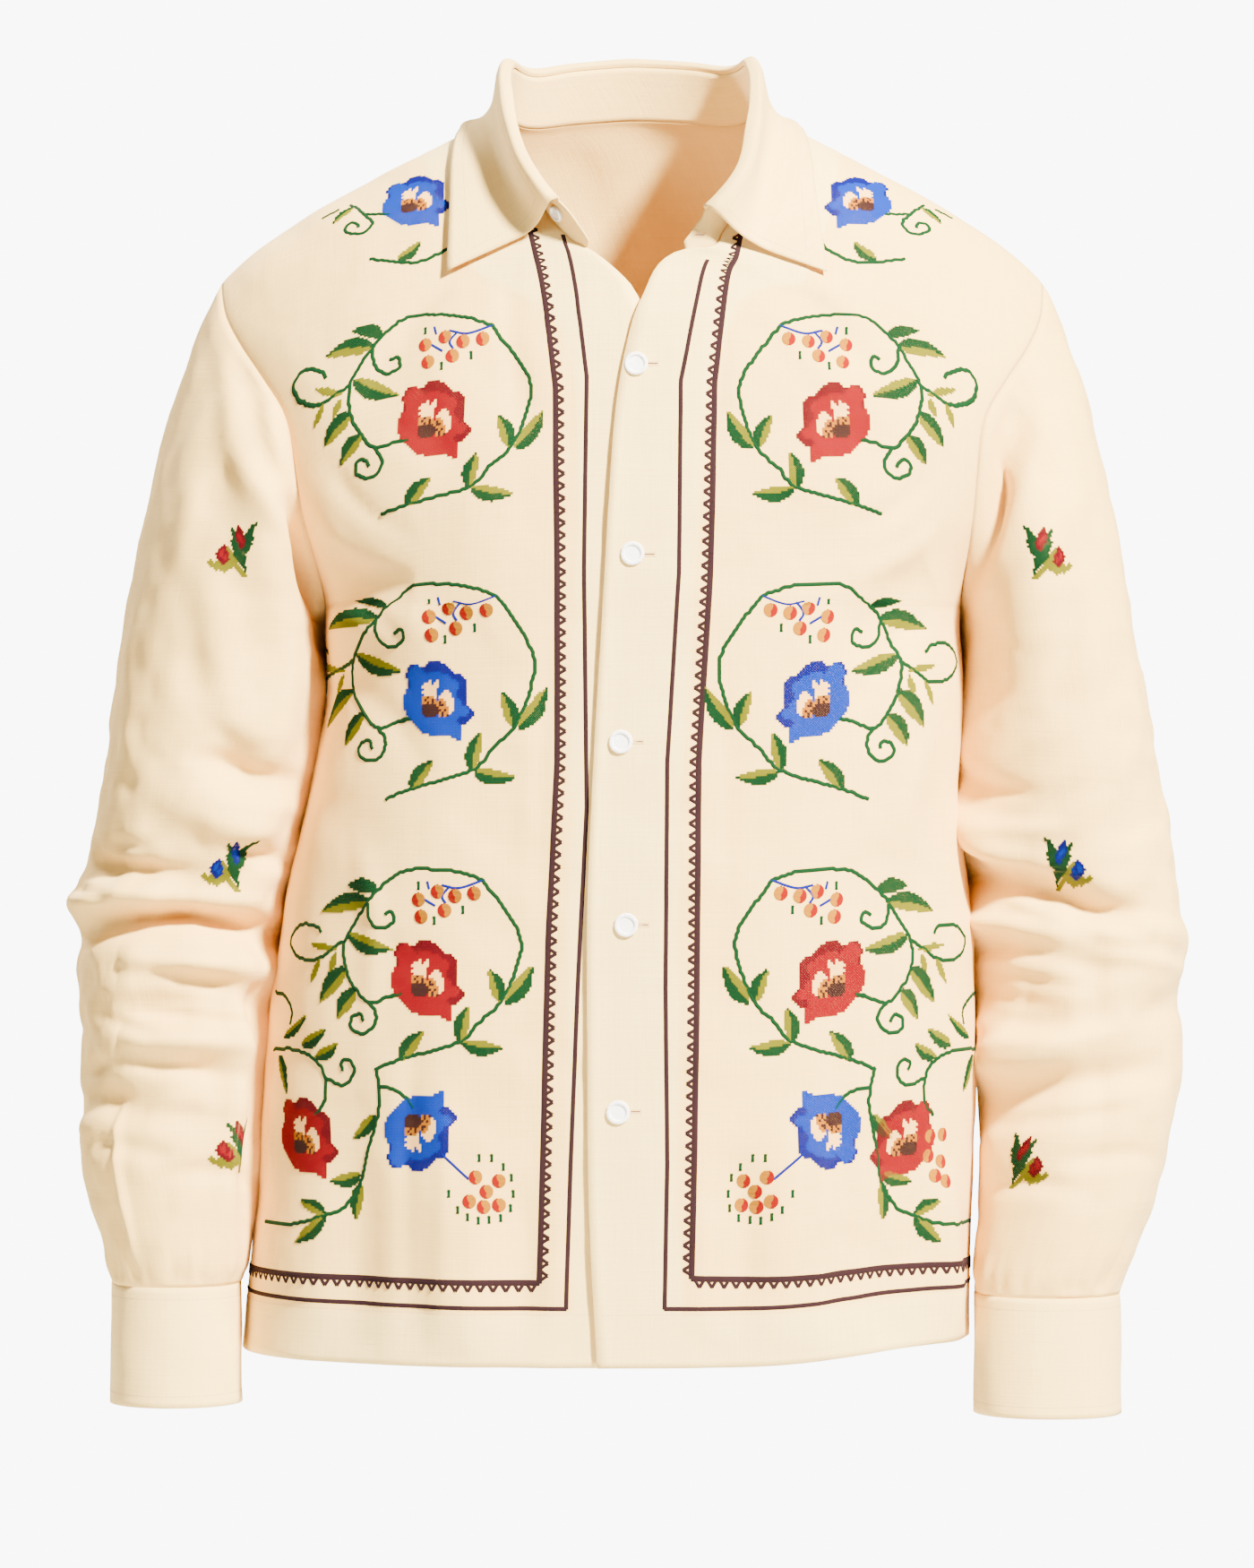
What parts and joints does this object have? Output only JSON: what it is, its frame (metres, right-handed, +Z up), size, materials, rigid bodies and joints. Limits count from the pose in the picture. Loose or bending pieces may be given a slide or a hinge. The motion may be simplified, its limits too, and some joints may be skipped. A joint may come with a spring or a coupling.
{
  "type": "embroidered shirt",
  "caption": "Long-sleeved button-front shirt with a turned-down collar and buttoned cuffs, hollow as worn, the neck open in a V.",
  "frame": {"origin": "middle of the neck opening, level with the neck ends of the shoulder seams, where the shirt hangs from the shoulders", "axes": "+Z up, the front faces -Y, +X towards the wearer's left"},
  "size_m": [0.642, 0.2408, 0.7893],
  "materials": {
    "cloth": "plain-weave cream cotton, matt, with fine slubs",
    "button": "smooth off-white"
  },
  "bodies": {
    "root": {"front_left": "cloth", "front_right": "cloth", "back": "cloth", "sleeve_left": "cloth", "sleeve_right": "cloth", "cuff_left": "cloth", "cuff_right": "cloth", "collar_stand": "cloth", "collar": "cloth", "button_1": "button", "button_2": "button", "button_3": "button", "button_4": "button", "button_5": "button", "button_collar": "button", "button_cuff_left": "button", "button_cuff_right": "button"}
  },
  "joints": []
}
